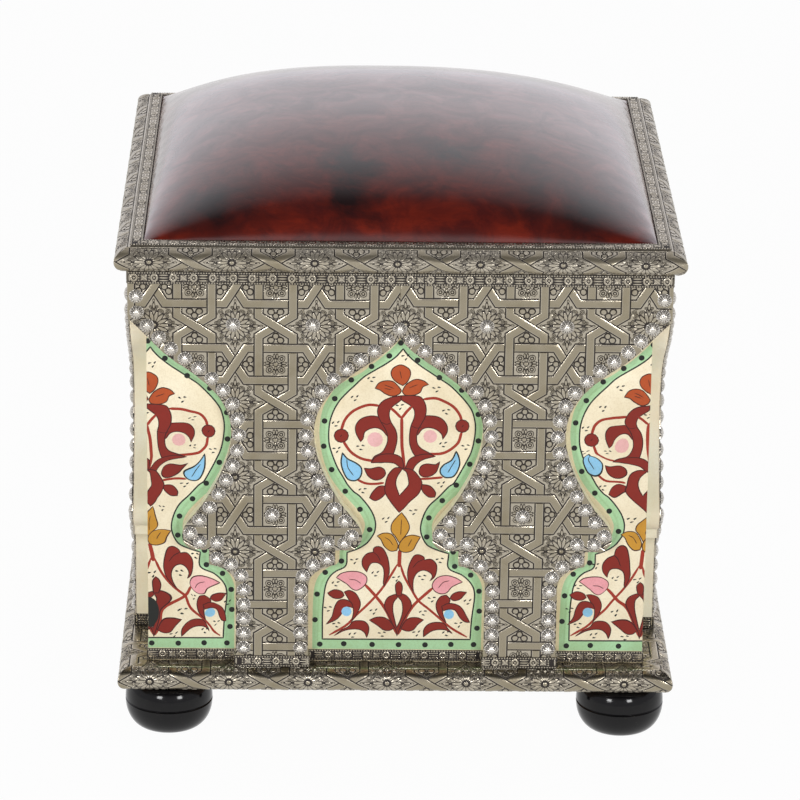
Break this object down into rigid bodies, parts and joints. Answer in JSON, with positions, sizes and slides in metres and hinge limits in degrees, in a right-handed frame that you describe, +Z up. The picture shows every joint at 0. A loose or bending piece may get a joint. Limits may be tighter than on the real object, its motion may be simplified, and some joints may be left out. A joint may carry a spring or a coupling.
{
  "type": "footstool",
  "caption": "Square Moroccan box stool on bun feet: painted panels behind arched fret boards in embossed, studded metal, moulded metal-clad plinth and seat board, domed leather pad",
  "frame": {"origin": "on the floor, at the middle of the square footprint", "axes": "+Z up, -Y towards the side seen in the picture, +X to its right"},
  "size_m": [0.45, 0.45, 0.4845],
  "materials": {
    "black_lacquer": "turned wood in gloss black lacquer",
    "bare_wood": "unfinished softwood",
    "painted_wood": "cream paint with hand painted scrolls, leaves and a dotted green border",
    "cream_edge": "cream painted sawn edge",
    "nickel_silver": "embossed nickel silver sheet, darkened in the grooves",
    "dark_leather": "dark red leather mottled with black, waxed sheen",
    "wadding": "cotton wadding"
  },
  "bodies": {
    "root": {"foot_front_left": "black_lacquer", "foot_front_right": "black_lacquer", "foot_rear_left": "black_lacquer", "foot_rear_right": "black_lacquer", "foot_dowel_front_left": "bare_wood", "foot_dowel_front_right": "bare_wood", "foot_dowel_rear_left": "bare_wood", "foot_dowel_rear_right": "bare_wood", "plinth_board": "bare_wood", "plinth_moulding_front": "nickel_silver", "plinth_moulding_right": "nickel_silver", "plinth_moulding_rear": "nickel_silver", "plinth_moulding_left": "nickel_silver", "carcass_wall_front": "painted_wood", "carcass_wall_right": "painted_wood", "carcass_wall_rear": "painted_wood", "carcass_wall_left": "painted_wood", "corner_post_front_left": "bare_wood", "corner_post_front_right": "bare_wood", "corner_post_rear_left": "bare_wood", "corner_post_rear_right": "bare_wood", "seat_cleat_left": "bare_wood", "seat_cleat_right": "bare_wood", "fret_board_front": "cream_edge", "fret_board_right": "cream_edge", "fret_board_rear": "cream_edge", "fret_board_left": "cream_edge", "fret_cladding_front": "nickel_silver", "fret_cladding_right": "nickel_silver", "fret_cladding_rear": "nickel_silver", "fret_cladding_left": "nickel_silver", "top_border_front": "nickel_silver", "top_border_right": "nickel_silver", "top_border_rear": "nickel_silver", "top_border_left": "nickel_silver", "pillar_foot_border_front_left": "nickel_silver", "pillar_foot_border_front_right": "nickel_silver", "pillar_foot_border_right_left": "nickel_silver", "pillar_foot_border_right_right": "nickel_silver", "pillar_foot_border_rear_left": "nickel_silver", "pillar_foot_border_rear_right": "nickel_silver", "pillar_foot_border_left_left": "nickel_silver", "pillar_foot_border_left_right": "nickel_silver", "panel_foot_border_front": "nickel_silver", "panel_foot_border_right": "nickel_silver", "panel_foot_border_rear": "nickel_silver", "panel_foot_border_left": "nickel_silver", "corner_foot_border_front": "nickel_silver", "corner_foot_border_right": "nickel_silver", "corner_foot_border_rear": "nickel_silver", "corner_foot_border_left": "nickel_silver", "seat_board": "bare_wood", "seat_moulding_front": "nickel_silver", "seat_moulding_right": "nickel_silver", "seat_moulding_rear": "nickel_silver", "seat_moulding_left": "nickel_silver", "seat_border": "nickel_silver", "seat_padding": "wadding", "leather_cover": "dark_leather"}
  },
  "joints": []
}
